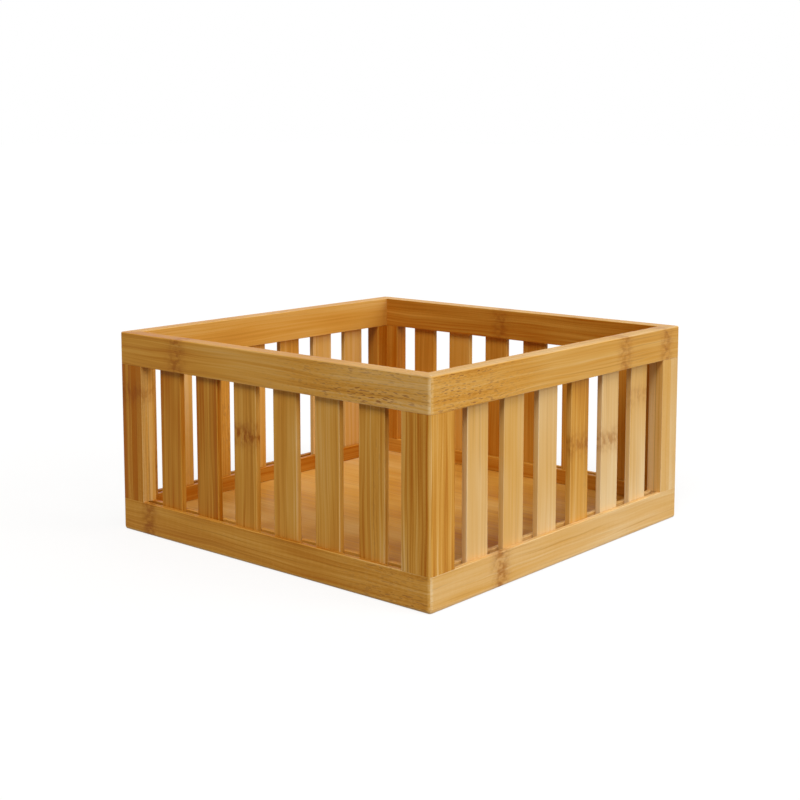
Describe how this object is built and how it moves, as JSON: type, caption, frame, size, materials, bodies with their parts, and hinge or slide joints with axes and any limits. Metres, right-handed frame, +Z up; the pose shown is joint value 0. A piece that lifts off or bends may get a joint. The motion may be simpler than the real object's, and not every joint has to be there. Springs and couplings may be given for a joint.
{
  "type": "slatted bamboo crate",
  "caption": "Open square bamboo crate with framed, slatted sides mitred at the corners and a flat floor panel let into the bottom rails.",
  "frame": {"origin": "centre of the crate's footprint, at the underside of the bottom rails", "axes": "+Z up out of the open top, +X towards the right-hand panel, -Y towards the front panel"},
  "size_m": [0.25, 0.25, 0.125],
  "materials": {
    "rail_bamboo": "satin lacquered laminated bamboo, grain along the rail",
    "stile_bamboo": "satin lacquered laminated bamboo, grain upright, side-by-side strips",
    "slat_bamboo": "satin lacquered single-ply bamboo, grain upright",
    "floor_bamboo": "satin lacquered bamboo board"
  },
  "bodies": {
    "root": {"front_bottom_rail": "rail_bamboo", "front_top_rail": "rail_bamboo", "front_left_stile": "stile_bamboo", "front_right_stile": "stile_bamboo", "front_slat_1": "slat_bamboo", "front_slat_2": "slat_bamboo", "front_slat_3": "slat_bamboo", "front_slat_4": "slat_bamboo", "front_slat_5": "slat_bamboo", "front_slat_6": "slat_bamboo", "right_bottom_rail": "rail_bamboo", "right_top_rail": "rail_bamboo", "right_front_stile": "stile_bamboo", "right_back_stile": "stile_bamboo", "right_slat_1": "slat_bamboo", "right_slat_2": "slat_bamboo", "right_slat_3": "slat_bamboo", "right_slat_4": "slat_bamboo", "right_slat_5": "slat_bamboo", "right_slat_6": "slat_bamboo", "back_bottom_rail": "rail_bamboo", "back_top_rail": "rail_bamboo", "back_right_stile": "stile_bamboo", "back_left_stile": "stile_bamboo", "back_slat_1": "slat_bamboo", "back_slat_2": "slat_bamboo", "back_slat_3": "slat_bamboo", "back_slat_4": "slat_bamboo", "back_slat_5": "slat_bamboo", "back_slat_6": "slat_bamboo", "left_bottom_rail": "rail_bamboo", "left_top_rail": "rail_bamboo", "left_back_stile": "stile_bamboo", "left_front_stile": "stile_bamboo", "left_slat_1": "slat_bamboo", "left_slat_2": "slat_bamboo", "left_slat_3": "slat_bamboo", "left_slat_4": "slat_bamboo", "left_slat_5": "slat_bamboo", "left_slat_6": "slat_bamboo", "floor_panel": "floor_bamboo"}
  },
  "joints": []
}
